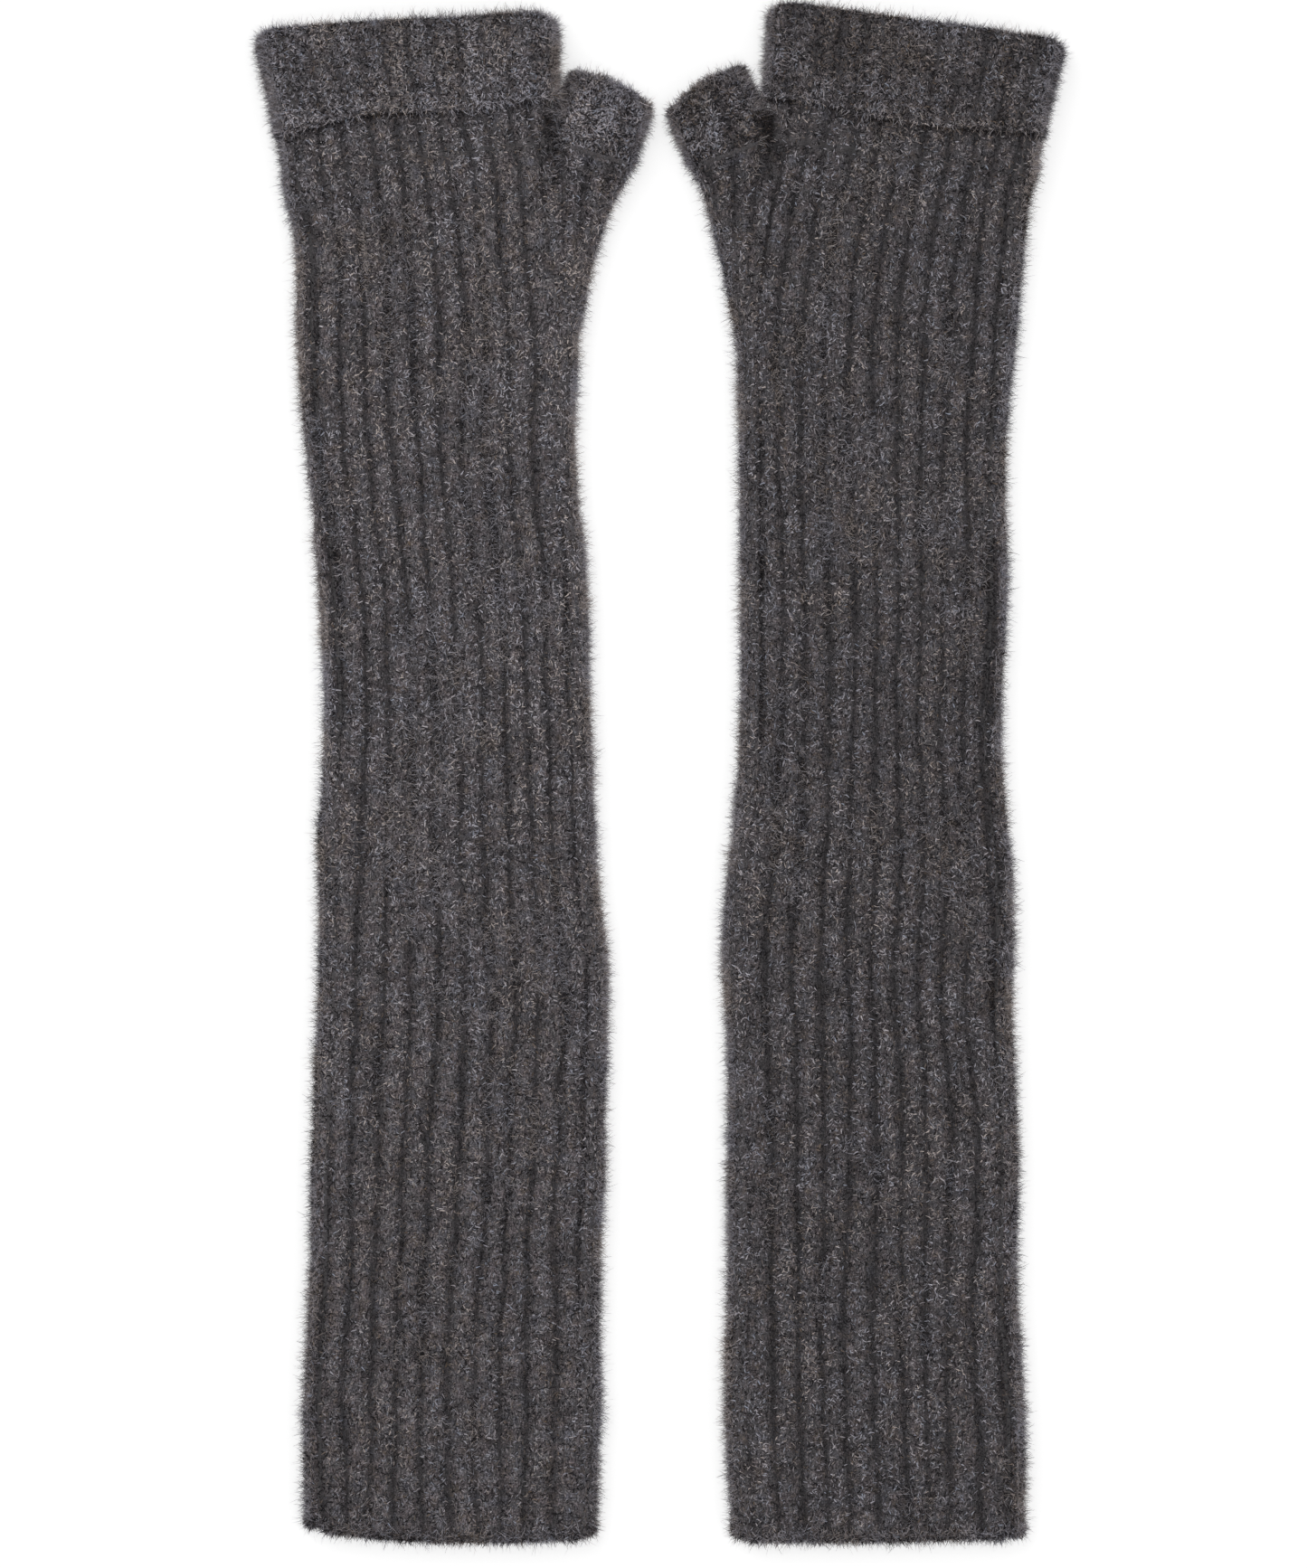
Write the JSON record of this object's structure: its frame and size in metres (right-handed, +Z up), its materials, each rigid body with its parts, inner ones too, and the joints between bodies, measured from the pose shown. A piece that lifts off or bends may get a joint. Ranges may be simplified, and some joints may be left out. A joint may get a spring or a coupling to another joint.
{
  "type": "fingerless gloves",
  "caption": "Pair of long fingerless gloves in brushed rib-knit wool, laid flat, with turned-back knuckle cuffs and short open thumb tubes.",
  "frame": {"origin": "on the table under the middle of the pair's outline", "axes": "+Z up from the table, +Y from the arm openings towards the fingers, +X from the left glove to the right glove"},
  "size_m": [0.2636, 0.5034, 0.0168],
  "materials": {
    "wool": "thick rib knit in charcoal wool, brushed to a soft nap",
    "yarn": "edge and seam stitches in the same charcoal wool yarn"
  },
  "bodies": {
    "left_glove": {"left_sleeve": "wool", "left_hand": "wool", "left_side_seam": "yarn", "left_thumb_seam": "yarn", "left_arm_edge": "yarn"},
    "left_cuff": {"left_cuff": "wool", "left_cuff_edge": "yarn"},
    "left_thumb": {"left_thumb": "wool", "left_thumb_edge": "yarn"},
    "right_glove": {"right_sleeve": "wool", "right_hand": "wool", "right_side_seam": "yarn", "right_thumb_seam": "yarn", "right_arm_edge": "yarn"},
    "right_cuff": {"right_cuff": "wool", "right_cuff_edge": "yarn"},
    "right_thumb": {"right_thumb": "wool", "right_thumb_edge": "yarn"}
  },
  "joints": [
    {"name": "right_glove_apart", "type": "slide", "parent": "left_glove", "child": "right_glove", "axis": [1, 0, 0], "range_m": [0, 0.15]},
    {"name": "left_cuff_turn_up", "type": "slide", "parent": "left_glove", "child": "left_cuff", "axis": [-0.1253, 0.9921, 0], "range_m": [0, 0.03]},
    {"name": "right_cuff_turn_up", "type": "slide", "parent": "right_glove", "child": "right_cuff", "axis": [0.1513, 0.9885, 0], "range_m": [0, 0.03]},
    {"name": "left_thumb_fold", "type": "hinge", "parent": "left_glove", "child": "left_thumb", "pos_m": [-0.0219, 0.20025, 0.01182], "axis": [0.9598, -0.2807, 0], "range_deg": [0, 75]},
    {"name": "right_thumb_fold", "type": "hinge", "parent": "right_glove", "child": "right_thumb", "pos_m": [0.02135, 0.20054, 0.01182], "axis": [0.9379, 0.3469, 0], "range_deg": [0, 75]}
  ]
}
